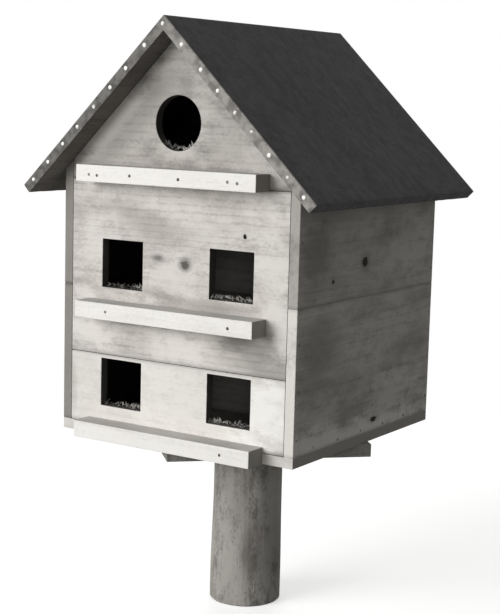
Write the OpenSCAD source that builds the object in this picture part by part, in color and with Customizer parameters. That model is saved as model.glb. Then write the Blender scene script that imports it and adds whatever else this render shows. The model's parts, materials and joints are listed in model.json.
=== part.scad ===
// Purple martin birdhouse: a two-storey board house with an attic, on a turned support board and a pole.
// The front faces -Y, +X is to the right of the front, and +Z is up.
// The origin is the centre of the pole's flat foot.

/* [House body] */
// Width of the house across the front
body_w = 334; // [300:1:400]
// Depth of the house from front to back
body_d = 334; // [300:1:400]
// Thickness of the wall and floor boards
board_t = 12.7; // [9:0.1:16]
// Height of the lower storey, from the underside of the house to the top of the upper floor
lower_storey_h = 166.5; // [140:0.5:220]
// Height of the upper storey, from the top of the upper floor to the top of the attic floor
upper_storey_h = 162; // [130:0.5:220]
// Drop from the top of the attic floor to the outer top edge of the side walls
eave_drop = 8.5; // [2:0.5:9]
// Drop from the top of the attic floor to the joint under the gable board
gable_joint_drop = 18.5; // [13:0.5:30]
// Width of the lower board of a side wall
side_lower_board_w = 168.3; // [100:0.1:230]

/* [Entrances] */
// Width of a square entrance
entrance_w = 60; // [45:1:75]
// Height of a square entrance
entrance_h = 58; // [45:1:75]
// Distance from the middle of the front to the middle of a square entrance
entrance_x = 78; // [50:1:95]
// Rise from the top of the lower ledge to the sill of the lower entrances
lower_sill_rise = 16.5; // [5:0.5:30]
// Rise from the upper floor to the sill of the upper entrances
upper_sill_rise = 15; // [5:0.5:30]
// Wood left above the lower entrances, up to the joint with the middle board
lower_head_h = 5; // [3:0.5:20]
// Diameter of the round gable entrance
gable_hole_d = 63.5; // [40:0.5:75]
// Rise from the attic floor to the lowest point of the round gable entrance
gable_hole_rise = 19.75; // [5:0.25:30]

/* [Ledges] */
// Length of a landing ledge
ledge_l = 253; // [200:1:290]
// Depth of a landing ledge, out from the wall
ledge_d = 29; // [15:1:45]
// Height of a landing ledge's front edge
ledge_h = 20; // [14:1:30]

/* [Roof] */
// Pitch of the roof slopes, in degrees
roof_pitch = 44.3; // [40:0.1:50]
// Thickness of the roof boards
roof_board_t = 11; // [8:0.5:16]
// Width of the upper roof board on each slope
roof_upper_board_w = 146; // [110:1:200]
// Reach of the roof beyond a side wall, down the slope
eave_overhang = 40; // [20:1:60]
// Reach of the roof beyond the front and the back walls
gable_overhang = 32; // [15:1:50]
// Thickness of the roofing felt
felt_t = 1.5; // [0.8:0.1:3]

/* [Stand] */
// Side of the square support board under the floor
support_w = 250; // [200:1:300]
// Thickness of the support board
support_t = 16; // [10:1:25]
// Turn of the support board about the pole, in degrees
support_turn = 45; // [0:1:90]
// Length of the pole below the support board
pole_l = 212; // [150:1:4000]
// Diameter of the pole at its foot
pole_foot_d = 92; // [60:1:150]
// Diameter of the pole at its top
pole_top_d = 87; // [55:1:150]

/* [Hidden] */

// Cuts run past the faces they open by this much
overrun = 1;
// Facets of the round shapes
round_facets = 96;

// Height of the underside of the house above the pole's foot
house_z = pole_l + support_t;
// Clear width and depth between the walls
inside_w = body_w - 2 * board_t;
inside_d = body_d - 2 * board_t;
// Heights of the floors' tops and of the side walls' outer top edge, from the underside of the house
upper_floor_h = lower_storey_h;
attic_floor_h = upper_floor_h + upper_storey_h;
eave_h = attic_floor_h - eave_drop;
// Heights of the sills and of the middle of the round entrance
lower_sill_h = ledge_h + lower_sill_rise;
upper_sill_h = upper_floor_h + upper_sill_rise;
gable_hole_h = attic_floor_h + gable_hole_rise + gable_hole_d / 2;
// Heights of the joints between the wall boards
lower_joint_h = lower_sill_h + entrance_h + lower_head_h;
gable_joint_h = attic_floor_h - gable_joint_drop;
side_joint_h = board_t + side_lower_board_w;

// Underside of the roof at the ridge, and length of the underside down one slope
ridge_h = eave_h + body_w / 2 * tan(roof_pitch);
slope_l = body_w / 2 / cos(roof_pitch) + eave_overhang;
// Length of the roof boards along the ridge; the felt is turned down over both ends
roof_board_l = body_d + 2 * (gable_overhang - felt_t);

pine = "Tan";
pale_pine = "Wheat";
ledge_white = "Linen";
felt_grey = "DimGray";
pole_brown = "RosyBrown";

// A point on the right slope: s down the slope from the ridge, n out from the underside of the boards
function on_slope(s, n) = [
    s * cos(roof_pitch) + n * sin(roof_pitch),
    ridge_h - s * sin(roof_pitch) + n * cos(roof_pitch)
];

// Where a layer at height n above the underside meets the middle plane
function ridge_mitre(n) = -n * tan(roof_pitch);

// Height of the roof's underside at a distance x from the middle plane
function roof_underside_h(x) = ridge_h - x * tan(roof_pitch);

// Stands a front-view outline up and gives it a thickness, from y inwards
module upright(y, thickness) {
    translate([0, y + thickness, house_z])
        rotate([90, 0, 0])
            linear_extrude(thickness)
                children();
}

// Runs a front-view outline through the house, centred on the middle of its depth
module along_house(length) {
    upright(-length / 2, length) children();
}

// Turns a front piece into the same piece at the back
module at_back() {
    mirror([0, 1, 0]) children();
}

// Turns a right-hand piece into the same piece on the left
module at_left() {
    mirror([1, 0, 0]) children();
}

// Outline of a wall across the house between two heights, under the roof
module gable_outline(from_h) {
    polygon([
        [-inside_w / 2, from_h],
        [inside_w / 2, from_h],
        [inside_w / 2, roof_underside_h(inside_w / 2)],
        [0, ridge_h],
        [-inside_w / 2, roof_underside_h(inside_w / 2)]
    ]);
}

// Outline of a straight wall across the house between two heights
module course_outline(from_h, to_h) {
    translate([-inside_w / 2, from_h]) square([inside_w, to_h - from_h]);
}

// The pair of square entrances of one storey
module entrance_pair(sill_h) {
    for (side = [-1, 1])
        translate([side * entrance_x - entrance_w / 2, sill_h])
            square([entrance_w, entrance_h]);
}

// A level board inside or under the house, with its top at the given height
module level_board(w, d, top_h) {
    translate([-w / 2, -d / 2, house_z + top_h - board_t]) cube([w, d, board_t]);
}

// A landing ledge on the front, with its top at the given height
module ledge(top_h) {
    color(ledge_white)
        translate([-ledge_l / 2, -body_d / 2 - ledge_d, house_z + top_h - ledge_h])
            cube([ledge_l, ledge_d, ledge_h]);
}

// A board of the right roof slope between two distances from the ridge
module roof_board(from_s, to_s, from_mitre) {
    color(pine)
        along_house(roof_board_l)
            polygon([
                on_slope(from_s, 0),
                on_slope(to_s, 0),
                on_slope(to_s, roof_board_t),
                on_slope(from_mitre, roof_board_t)
            ]);
}

// Outline of both slopes as one bent layer, between two heights above the underside of the boards
module roof_layer_outline(from_n, to_n, length) {
    eave_points = [on_slope(length, from_n), on_slope(length, to_n)];
    polygon([
        on_slope(ridge_mitre(from_n), from_n),
        eave_points[0],
        eave_points[1],
        on_slope(ridge_mitre(to_n), to_n),
        [-eave_points[1].x, eave_points[1].y],
        [-eave_points[0].x, eave_points[0].y]
    ]);
}

module pole() {
    color(pole_brown) cylinder(h = pole_l, d1 = pole_foot_d, d2 = pole_top_d, $fn = round_facets);
}

module support_board() {
    color(pine)
        rotate([0, 0, support_turn])
            translate([-support_w / 2, -support_w / 2, pole_l])
                cube([support_w, support_w, support_t]);
}

module floor_board() {
    color(pine) level_board(body_w, body_d, board_t);
}

module upper_floor() {
    color(pine) level_board(inside_w, inside_d, upper_floor_h);
}

module attic_floor() {
    color(pine) level_board(inside_w, inside_d, attic_floor_h);
}

module lower_inner_wall() {
    color(pine) along_house(board_t) course_outline(board_t, upper_floor_h - board_t);
}

module upper_inner_wall() {
    color(pine) along_house(board_t) course_outline(upper_floor_h, attic_floor_h - board_t);
}

module attic_inner_wall() {
    color(pine) along_house(board_t) gable_outline(attic_floor_h);
}

module right_side_lower_board() {
    color(pine)
        translate([inside_w / 2, -body_d / 2, house_z + board_t])
            cube([board_t, body_d, side_joint_h - board_t]);
}

module left_side_lower_board() {
    at_left() right_side_lower_board();
}

// The top edge is bevelled to the roof's pitch, so that the roof boards lie flat on it
module right_side_upper_board() {
    color(pine)
        along_house(body_d)
            polygon([
                [inside_w / 2, side_joint_h],
                [body_w / 2, side_joint_h],
                [body_w / 2, eave_h],
                [inside_w / 2, roof_underside_h(inside_w / 2)]
            ]);
}

module left_side_upper_board() {
    at_left() right_side_upper_board();
}

module front_lower_board() {
    color(pale_pine)
        upright(-body_d / 2, board_t)
            difference() {
                course_outline(board_t, lower_joint_h);
                entrance_pair(lower_sill_h);
            }
}

module front_middle_board() {
    color(pine)
        upright(-body_d / 2, board_t)
            difference() {
                course_outline(lower_joint_h, gable_joint_h);
                entrance_pair(upper_sill_h);
            }
}

module front_gable_board() {
    color(pine)
        difference() {
            upright(-body_d / 2, board_t) gable_outline(gable_joint_h);
            translate([0, -body_d / 2 - overrun, house_z + gable_hole_h])
                rotate([-90, 0, 0])
                    cylinder(h = board_t + 2 * overrun, d = gable_hole_d, $fn = round_facets);
        }
}

module back_lower_board() {
    at_back() front_lower_board();
}

module back_middle_board() {
    at_back() front_middle_board();
}

module back_gable_board() {
    at_back() front_gable_board();
}

module front_lower_ledge() {
    ledge(ledge_h);
}

module front_middle_ledge() {
    ledge(upper_floor_h);
}

module front_top_ledge() {
    ledge(attic_floor_h);
}

module back_lower_ledge() {
    at_back() front_lower_ledge();
}

module back_middle_ledge() {
    at_back() front_middle_ledge();
}

module back_top_ledge() {
    at_back() front_top_ledge();
}

module right_roof_upper_board() {
    roof_board(0, roof_upper_board_w, ridge_mitre(roof_board_t));
}

module right_roof_lower_board() {
    roof_board(roof_upper_board_w, slope_l, roof_upper_board_w);
}

module left_roof_upper_board() {
    at_left() right_roof_upper_board();
}

module left_roof_lower_board() {
    at_left() right_roof_lower_board();
}

// One sheet over both slopes, turned down over the eaves and over both gable ends
module roof_felt() {
    color(felt_grey)
        difference() {
            along_house(roof_board_l + 2 * felt_t)
                roof_layer_outline(0, roof_board_t + felt_t, slope_l + felt_t);
            along_house(roof_board_l)
                roof_layer_outline(-overrun, roof_board_t, slope_l);
        }
}

pole();
support_board();
floor_board();
upper_floor();
attic_floor();
lower_inner_wall();
upper_inner_wall();
attic_inner_wall();
left_side_lower_board();
left_side_upper_board();
right_side_lower_board();
right_side_upper_board();
front_lower_board();
front_middle_board();
front_gable_board();
back_lower_board();
back_middle_board();
back_gable_board();
front_lower_ledge();
front_middle_ledge();
front_top_ledge();
back_lower_ledge();
back_middle_ledge();
back_top_ledge();
left_roof_upper_board();
left_roof_lower_board();
right_roof_upper_board();
right_roof_lower_board();
roof_felt();
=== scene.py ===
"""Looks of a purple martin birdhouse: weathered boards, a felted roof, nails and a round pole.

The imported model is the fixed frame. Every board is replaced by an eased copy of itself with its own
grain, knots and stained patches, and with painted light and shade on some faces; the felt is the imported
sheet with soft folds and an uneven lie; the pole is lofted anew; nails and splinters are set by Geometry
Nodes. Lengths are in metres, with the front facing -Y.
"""

import json
import logging
import math
import random
from collections.abc import Callable, Sequence
from dataclasses import dataclass, field
from enum import Enum
from typing import Any, Union

import bmesh
import bpy
from mathutils import Matrix, Vector, noise


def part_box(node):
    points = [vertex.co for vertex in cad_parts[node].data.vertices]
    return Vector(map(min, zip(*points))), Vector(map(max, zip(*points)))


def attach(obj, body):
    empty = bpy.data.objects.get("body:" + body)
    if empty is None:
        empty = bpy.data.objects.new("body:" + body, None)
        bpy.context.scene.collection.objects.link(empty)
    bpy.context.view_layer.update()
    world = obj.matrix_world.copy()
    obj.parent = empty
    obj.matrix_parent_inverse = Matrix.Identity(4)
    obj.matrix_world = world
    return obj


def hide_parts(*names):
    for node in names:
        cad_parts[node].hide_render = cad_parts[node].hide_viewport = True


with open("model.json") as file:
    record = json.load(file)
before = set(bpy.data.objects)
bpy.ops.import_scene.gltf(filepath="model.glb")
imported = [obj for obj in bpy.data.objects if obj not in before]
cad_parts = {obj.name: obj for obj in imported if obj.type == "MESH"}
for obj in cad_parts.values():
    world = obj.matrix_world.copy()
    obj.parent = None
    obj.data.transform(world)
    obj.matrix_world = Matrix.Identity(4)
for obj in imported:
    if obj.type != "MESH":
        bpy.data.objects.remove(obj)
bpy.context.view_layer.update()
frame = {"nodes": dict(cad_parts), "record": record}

LOG = logging.getLogger("birdhouse")
MM = 0.001
BODY = "root"
PHOTO_SIZE = (500, 614)
FULL_TURN = 2 * math.pi
ROOF_PITCH = math.radians(44.3)
FLAT_ANGLE = math.radians(0.5)
MERGE = 0.01 * MM
NOISE_MEAN = 0.5

Colour = tuple[float, float, float]
Band = tuple[float, float]
Place = tuple["Sock", "Sock", "Sock"]
Spots = list[tuple[Vector, Vector]]
Value = Union[float, "Sock"]


class Axis(Enum):
    """The three axes of the part's frame."""

    X = 0
    Y = 1
    Z = 2


class Grain(Enum):
    """Axes along the grain, across it on the board's face, and through the board."""

    ACROSS_FRONT = (Axis.X, Axis.Z, Axis.Y)
    ALONG_SIDE = (Axis.Y, Axis.Z, Axis.X)
    FLAT = (Axis.X, Axis.Y, Axis.Z)
    DOWN_ROOF = (Axis.Y, Axis.X, Axis.Z)
    UP_POLE = (Axis.Z, Axis.X, Axis.Y)


def math_operator(operation: str, reflected: bool = False) -> Callable[["Sock", Value], "Sock"]:
    """Makes an operator of Sock from a Math node's operation.

    Args:
        operation: The Math node's operation.
        reflected: True where the other value stands on the left.

    Returns:
        The operator, as a method.
    """
    def method(self: "Sock", other: Value) -> "Sock":
        """Adds the operation on this socket and another value."""
        return self.math(operation, other, self) if reflected else self.math(operation, self, other)

    return method


class Sock:
    """A shader socket in an expression: each operation adds one Math node to its tree."""

    __add__ = math_operator("ADD")
    __radd__ = math_operator("ADD", reflected=True)
    __sub__ = math_operator("SUBTRACT")
    __rsub__ = math_operator("SUBTRACT", reflected=True)
    __mul__ = math_operator("MULTIPLY")
    __rmul__ = math_operator("MULTIPLY", reflected=True)
    __truediv__ = math_operator("DIVIDE")
    __rtruediv__ = math_operator("DIVIDE", reflected=True)
    __pow__ = math_operator("POWER")
    __rpow__ = math_operator("POWER", reflected=True)
    least = math_operator("MINIMUM")
    most = math_operator("MAXIMUM")
    below = math_operator("LESS_THAN")

    def __init__(self, tree: bpy.types.NodeTree, socket: bpy.types.NodeSocket | None) -> None:
        """Keeps the socket and the tree that it belongs to."""
        self.tree = tree
        self.socket = socket

    def math(self, operation: str, *operands: Value) -> "Sock":
        """Adds a Math node.

        Args:
            operation: The Math node's operation.
            operands: Its inputs in order, numbers or sockets.

        Returns:
            The node's result.
        """
        node = self.tree.nodes.new("ShaderNodeMath")
        node.operation = operation
        for slot, operand in zip(node.inputs, operands):
            if isinstance(operand, Sock):
                self.tree.links.new(operand.socket, slot)
            else:
                slot.default_value = operand
        return Sock(self.tree, node.outputs[0])

    def __abs__(self) -> "Sock":
        """Absolute value."""
        return self.math("ABSOLUTE", self)

    def sine(self) -> "Sock":
        """Sine of the value in radians."""
        return self.math("SINE", self)

    def exp(self) -> "Sock":
        """Natural exponential."""
        return self.math("EXPONENT", self)


@dataclass(frozen=True)
class Layer:
    """A layer of noise: features per metre on three axes, its finer octaves, and their strength."""

    scales: tuple[float, float, float]
    detail: float = 2.0
    roughness: float = 0.5


class NodeGraph:
    """A node tree that is written as expressions."""

    def __init__(self, tree: bpy.types.NodeTree) -> None:
        """Takes a tree over and empties it."""
        self.tree = tree
        tree.nodes.clear()

    def add(
        self,
        kind: str,
        settings: dict[str, Any] | None = None,
        inputs: dict[int | str, Any] | None = None,
        output: int | str = 0,
    ) -> Sock:
        """Adds any node.

        Args:
            kind: The node's type name.
            settings: Properties, set before the inputs.
            inputs: Values or sockets for the inputs, by name or place.
            output: The output that is wanted.

        Returns:
            That output.
        """
        node = self.tree.nodes.new(kind)
        for key, value in (settings or {}).items():
            setattr(node, key, value)
        for key, value in (inputs or {}).items():
            slot = node.inputs[key]
            if isinstance(value, Sock):
                self.tree.links.new(value.socket, slot)
            elif slot.type == "RGBA" and len(value) == 3:
                slot.default_value = (*value, 1.0)
            else:
                slot.default_value = value
        return Sock(self.tree, node.outputs[output] if len(node.outputs) else None)

    def split(self, vector: Sock) -> Place:
        """Splits a vector into its three values."""
        return tuple(self.add("ShaderNodeSeparateXYZ", inputs={0: vector}, output=i) for i in range(3))

    def place(self) -> Place:
        """The point's own x, y and z in the part's frame."""
        return self.split(self.add("ShaderNodeTexCoord", output="Object"))

    def vector(self, x: Value, y: Value, z: Value) -> Sock:
        """Joins three values into a vector."""
        return self.add("ShaderNodeCombineXYZ", inputs={0: x, 1: y, 2: z})

    def noise(self, place: Place, layer: Layer, shift: Sequence[float] = (0.0, 0.0, 0.0)) -> Sock:
        """Fractal noise from 0 to 1.

        Args:
            place: Three coordinates in metres.
            layer: The scales and the fineness of the noise.
            shift: Picks another part of the pattern.

        Returns:
            The noise value.
        """
        point = self.vector(*(axis * scale + move for axis, scale, move in zip(place, layer.scales, shift)))
        inputs = {"Vector": point, "Scale": 1.0, "Detail": layer.detail, "Roughness": layer.roughness}
        return self.add("ShaderNodeTexNoise", {"noise_dimensions": "3D"}, inputs)

    def step(self, value: Sock, low: float, high: float) -> Sock:
        """A smooth step.

        Args:
            value: What is compared.
            low: Where the step is 0.
            high: Where it is 1, above or below low.

        Returns:
            The step's value.
        """
        ends = ((low, 0.0), (high, 1.0)) if low < high else ((high, 1.0), (low, 0.0))
        inputs = {0: value, 1: ends[0][0], 2: ends[1][0], 3: ends[0][1], 4: ends[1][1]}
        return self.add("ShaderNodeMapRange", {"interpolation_type": "SMOOTHSTEP"}, inputs)

    def mix(self, factor: Value, first: Any, second: Any, blend: str = "MIX") -> Sock:
        """Mixes a share of a second colour into a first one."""
        settings = {"data_type": "RGBA", "blend_type": blend, "clamp_factor": True}
        return self.add("ShaderNodeMix", settings, {0: factor, 6: first, 7: second}, output=2)

    def surface(
        self,
        colour: Any,
        roughness: Value,
        height: Sock,
        relief: float,
        specular: float = 0.5,
        metallic: float = 0.0,
    ) -> None:
        """Ends a material in a Principled shader.

        Args:
            colour: Base colour, fixed or a socket.
            roughness: Roughness, fixed or a socket.
            height: Relief from 0 to 1 for the bump.
            relief: Depth of the bump in metres.
            specular: Strength of the reflection, the same all over.
            metallic: Share of metal, the same all over.
        """
        bump = self.add("ShaderNodeBump", inputs={"Strength": 1.0, "Distance": relief, "Height": height})
        inputs = {
            "Base Color": colour, "Roughness": roughness, "Normal": bump,
            "Specular IOR Level": specular, "Metallic": metallic,
        }
        shader = self.add("ShaderNodeBsdfPrincipled", inputs=inputs)
        self.add("ShaderNodeOutputMaterial", inputs={"Surface": shader})


def new_material(name: str) -> tuple[bpy.types.Material, NodeGraph]:
    """Starts a material.

    Args:
        name: Name of the material.

    Returns:
        The material and its empty graph.
    """
    material = bpy.data.materials.new(name)
    material.use_nodes = True
    return material, NodeGraph(material.node_tree)


@dataclass(frozen=True)
class Knot:
    """A knot on a board's face: its place along and across the grain and its radius, in millimetres."""

    along: float
    across: float
    radius: float
    depth: float = 0.9
    length_ratio: float = 1.0
    halo: float = 0.5
    reach: float = 3.2
    pull: float = 0.6


@dataclass(frozen=True)
class StainOrPaintedLight:
    """A soft patch on a board's face, in millimetres: stained wood and painted shade; bleached wood and
    painted light where its strength is below 0.
    """

    along: float
    across: float
    half_along: float
    half_across: float
    strength: float
    lean: float = 0.0


Marks = tuple[Knot | StainOrPaintedLight, ...]


@dataclass(frozen=True)
class Inside:
    """The rooms and the cut edges of the entrances, out to the wall's face, where painted shade makes the
    surfaces dull and dark.
    """

    half_w: float
    half_d: float
    margin: float = 1.0 * MM
    shade: Colour = (0.016, 0.0145, 0.013)
    amount: float = 0.86


@dataclass(frozen=True)
class Cut:
    """How a piece is cut: the seed picks its place in the log, and its marks count up from mark_base."""

    box: tuple[Vector, Vector]
    grain: Grain
    seed: int
    mark_base: float = 0.0


@dataclass(frozen=True)
class WoodFinish:
    """A weathered softwood: its tones, its figure and its surface."""

    slot: str
    pale: Colour
    dark: Colour
    knot: Colour = (0.012, 0.010, 0.009)
    # The grimy tone of knots' halos and long edges, also laid as painted shade on faces that look up and in
    # some dark patches.
    dirt_and_painted_shade: Colour = (0.115, 0.106, 0.095)
    # The end faces' tone: the end grain's own, with painted shade on the ledges and floors, and painted light
    # on the side walls' front ends.
    end_grain_and_painted_light_tone: Colour = (0.20, 0.187, 0.168)
    # The tone of bleached wood, also laid as painted light in some pale patches.
    bleach_and_painted_light: Colour = (0.72, 0.695, 0.652)
    ring_spacing: float = 8 * MM
    ring_strength: float = 0.22
    fibre_strength: float = 0.6
    streak_strength: float = 0.55
    blotch_strength: float = 0.5
    mottle_strength: float = 1.0
    speckle_strength: float = 0.85
    edge_dirt: float = 0.6
    edge_width: float = 5 * MM
    end_grain_and_painted_light_share: float = 0.45
    # Share of painted shade on the faces that look up.
    painted_top_shade: float = 0.0
    roughness: float = 0.78
    relief: float = 0.35 * MM
    specular: float = 0.1

    def material(
        self, name: str, cut: Cut, marks: Marks = (), inside: Inside | None = None
    ) -> bpy.types.Material:
        """Builds this finish for one piece.

        Args:
            name: Name of the material.
            cut: How the piece is cut from the log.
            marks: Knots, stained and bleached patches, and patches of painted light and shade on its face.
            inside: The rooms, where the piece has a face in them.

        Returns:
            The material.
        """
        material, graph = new_material(name)
        knots = [mark for mark in marks if isinstance(mark, Knot)]
        wood = WoodSurface(graph, self, cut)
        wood.plain(knots)
        wood.ends()
        for mark in marks:
            if isinstance(mark, StainOrPaintedLight):
                wood.stain_or_light(mark)
        for knot in knots:
            wood.knot(knot)
        wood.edges()
        if inside is not None:
            wood.rooms(inside)
        wood.close()
        return material


class WoodSurface:
    """The wood of one piece, laid step by step. A band says where a soft step begins and where it ends."""

    LOG_REACH = 3.0
    PITH_SIDE_MM = 40
    PITH_DEPTH_MM = (25, 60)
    FIGURE = Layer((3.2, 15.0, 15.0), 3.0)
    FIBRES = Layer((16.0, 640.0, 640.0), 3.0)
    STREAKS = Layer((4.0, 95.0, 95.0))
    BLOTCHES = Layer((9.0, 19.0, 19.0), 4.0)
    MOTTLES = Layer((48.0, 80.0, 80.0), 4.0)
    SPECKLES = Layer((210.0, 330.0, 330.0))
    RING_WARP = 16 * MM
    LATE_BAND: Band = (0.15, 0.98)
    STREAK_LEVEL = 0.45
    MOTTLE_LEVEL = 0.46
    BLOTCH_BAND: Band = (0.44, 0.72)
    FACE_BAND: Band = (0.6, 0.9)
    PATCH_RAGS = (0.6, 2.0, 1.6)
    PATCH_BAND: Band = (1.25, 0.2)
    KNOT_RAG = 1.2
    HALO_BAND: Band = (2.6, 0.7)
    HEART_BAND: Band = (1.1, 0.8)
    EDGE_RAG = 6 * MM
    ROUGH_SHARES = (0.25, 0.08)
    RELIEF_SHARES = (0.6, 0.2, 0.3, 0.4)

    def __init__(self, graph: NodeGraph, finish: WoodFinish, cut: Cut) -> None:
        """Finds the piece's place in the log, and the noise of its wood there.

        Args:
            graph: The material's graph.
            finish: The wood's tones and strengths.
            cut: How the piece is cut from the log.
        """
        self.graph = graph
        self.finish = finish
        self.cut = cut
        self.axes = [axis.value for axis in cut.grain.value]
        self.draw = random.Random(cut.seed)
        self.point = graph.place()
        self.along, self.across, self.through = (self.point[i] for i in self.axes)
        self.shift = [self.draw.uniform(-self.LOG_REACH, self.LOG_REACH) for _ in range(3)]
        self.fibre = self.in_log(self.FIBRES)
        self.streak = self.in_log(self.STREAKS)
        self.blotch = self.in_log(self.BLOTCHES)
        self.mottle = self.in_log(self.MOTTLES)
        self.speckle = self.in_log(self.SPECKLES)

    def in_log(self, layer: Layer) -> Sock:
        """A layer of noise along the grain, at this piece's own place."""
        return self.graph.noise((self.along, self.across, self.through), layer, self.shift)

    def lay(self, amount: Value, colour: Any) -> None:
        """Lays a colour over what is there."""
        self.colour = self.graph.mix(amount, self.colour, colour)

    def from_mark(self, mark: Knot | StainOrPaintedLight) -> tuple[Sock, Sock]:
        """How far a point lies from a mark's middle, along and across the grain."""
        return self.along - mark.along * MM, self.across - (self.cut.mark_base + mark.across * MM)

    def from_knot(self, knot: Knot) -> Sock:
        """How far a point lies from a knot's middle, counted in the knot's own oval.

        Args:
            knot: The knot.

        Returns:
            The distance.
        """
        run, side = self.from_mark(knot)
        run = run / knot.length_ratio
        return (side * side + run * run) ** 0.5

    def late_wood(self, knots: list[Knot]) -> Sock:
        """The dark part of each growth ring, bent round the knots.

        Args:
            knots: The knots on the face.

        Returns:
            1 in late wood and 0 in early wood.
        """
        bent = self.across
        for knot in knots:
            _, side = self.from_mark(knot)
            near = (-1.0 * (self.from_knot(knot) / (knot.radius * MM * knot.reach)) ** 2.0).exp()
            bent = bent - side * near * knot.pull
        low, high = self.cut.box
        face, depth = self.axes[1:]
        middle = (low[face] + high[face]) / 2
        pith_side = self.draw.uniform(-self.PITH_SIDE_MM, self.PITH_SIDE_MM) * MM + middle
        pith_depth = self.draw.uniform(*self.PITH_DEPTH_MM) * MM * self.draw.choice((-1, 1)) + low[depth]
        ring_side = bent - pith_side
        ring_depth = self.through - pith_depth
        warp = (self.in_log(self.FIGURE) - NOISE_MEAN) * self.RING_WARP
        radius = (ring_side * ring_side + ring_depth * ring_depth) ** 0.5 + warp
        wave = (radius * (FULL_TURN / self.finish.ring_spacing)).sine()
        return self.graph.step(wave, *self.LATE_BAND)

    def plain(self, knots: list[Knot]) -> None:
        """Starts with the bare wood.

        Args:
            knots: The knots that bend its rings.
        """
        finish = self.finish
        self.late = self.late_wood(knots)
        tone = self.late * finish.ring_strength
        tone = tone + (self.fibre - NOISE_MEAN) * finish.fibre_strength
        tone = tone + (self.streak - self.STREAK_LEVEL) * finish.streak_strength
        tone = tone + (self.speckle - NOISE_MEAN) * finish.speckle_strength
        tone = tone + (self.mottle - self.MOTTLE_LEVEL) * finish.mottle_strength
        self.colour = self.graph.mix(tone.most(0.0), finish.pale, finish.dark)
        self.lay(self.graph.step(self.blotch, *self.BLOTCH_BAND) * finish.blotch_strength, finish.dark)

    def ends(self) -> None:
        """Tones the end faces, with the end grain's own tone and on some pieces painted light and shade, and
        paints shade on the faces that look up.
        """
        facing = self.graph.split(self.graph.add("ShaderNodeTexCoord", output="Normal"))
        end_face = self.graph.step(abs(facing[self.axes[0]]), *self.FACE_BAND)
        self.lay(end_face * self.finish.end_grain_and_painted_light_share, self.finish.end_grain_and_painted_light_tone)
        top_face = self.graph.step(facing[Axis.Z.value], *self.FACE_BAND)
        self.lay(top_face * self.finish.painted_top_shade, self.finish.dirt_and_painted_shade)

    def stain_or_light(self, stain_or_light: StainOrPaintedLight) -> None:
        """Lays a dark or pale patch with a ragged edge: stained or bleached wood, and on some faces painted
        shade and painted light.

        Args:
            stain_or_light: The patch.
        """
        run, side = self.from_mark(stain_or_light)
        run = (run + side * stain_or_light.lean) / (stain_or_light.half_along * MM)
        side = side / (stain_or_light.half_across * MM)
        spread = (run * run + side * side) ** 0.5
        for rag, share in zip((self.speckle, self.blotch, self.mottle), self.PATCH_RAGS):
            spread = spread + (rag - NOISE_MEAN) * share
        patch = self.graph.step(spread, *self.PATCH_BAND) * abs(stain_or_light.strength)
        # Dark patches take the grimy tone and pale ones the bleached tone; on some faces they are painted
        # shade and painted light.
        self.lay(patch, self.finish.dirt_and_painted_shade if stain_or_light.strength > 0 else self.finish.bleach_and_painted_light)

    def knot(self, knot: Knot) -> None:
        """Lays a knot's dirty halo and its dark heart.

        Args:
            knot: The knot.
        """
        radius = knot.radius * MM
        ragged = self.from_knot(knot) + (self.speckle - NOISE_MEAN) * (self.KNOT_RAG * radius)
        bands = (self.HALO_BAND, self.HEART_BAND)
        halo, heart = (self.graph.step(ragged, *(radius * end for end in band)) for band in bands)
        self.lay(halo * knot.halo, self.finish.dirt_and_painted_shade)
        self.lay(heart * knot.depth, self.finish.knot)

    def edges(self) -> None:
        """Dirties the long edges of the face."""
        low, high = (corner[self.axes[1]] for corner in self.cut.box)
        edge = (self.across - low).least(high - self.across) + (self.blotch - NOISE_MEAN) * self.EDGE_RAG
        self.lay(self.graph.step(edge, self.finish.edge_width, 0.0) * self.finish.edge_dirt, self.finish.dirt_and_painted_shade)

    def rooms(self, inside: Inside) -> None:
        """Paints shade on the faces that lie in the rooms and the entrances.

        Args:
            inside: The rooms.
        """
        x, y, _ = self.point
        room = abs(x).below(inside.half_w + inside.margin) * abs(y).below(inside.half_d + inside.margin)
        self.lay(room * inside.amount, inside.shade)

    def close(self) -> None:
        """Gives the colour its roughness and relief."""
        rough_fibre, smooth_late = self.ROUGH_SHARES
        rough = self.finish.roughness + (self.fibre - NOISE_MEAN) * rough_fibre - self.late * smooth_late
        first, *others = (self.fibre, self.late, self.streak, self.speckle)
        height = first * self.RELIEF_SHARES[0]
        for layer, share in zip(others, self.RELIEF_SHARES[1:]):
            height = height + layer * share
        self.graph.surface(self.colour, rough, height, self.finish.relief, self.finish.specular)


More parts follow.
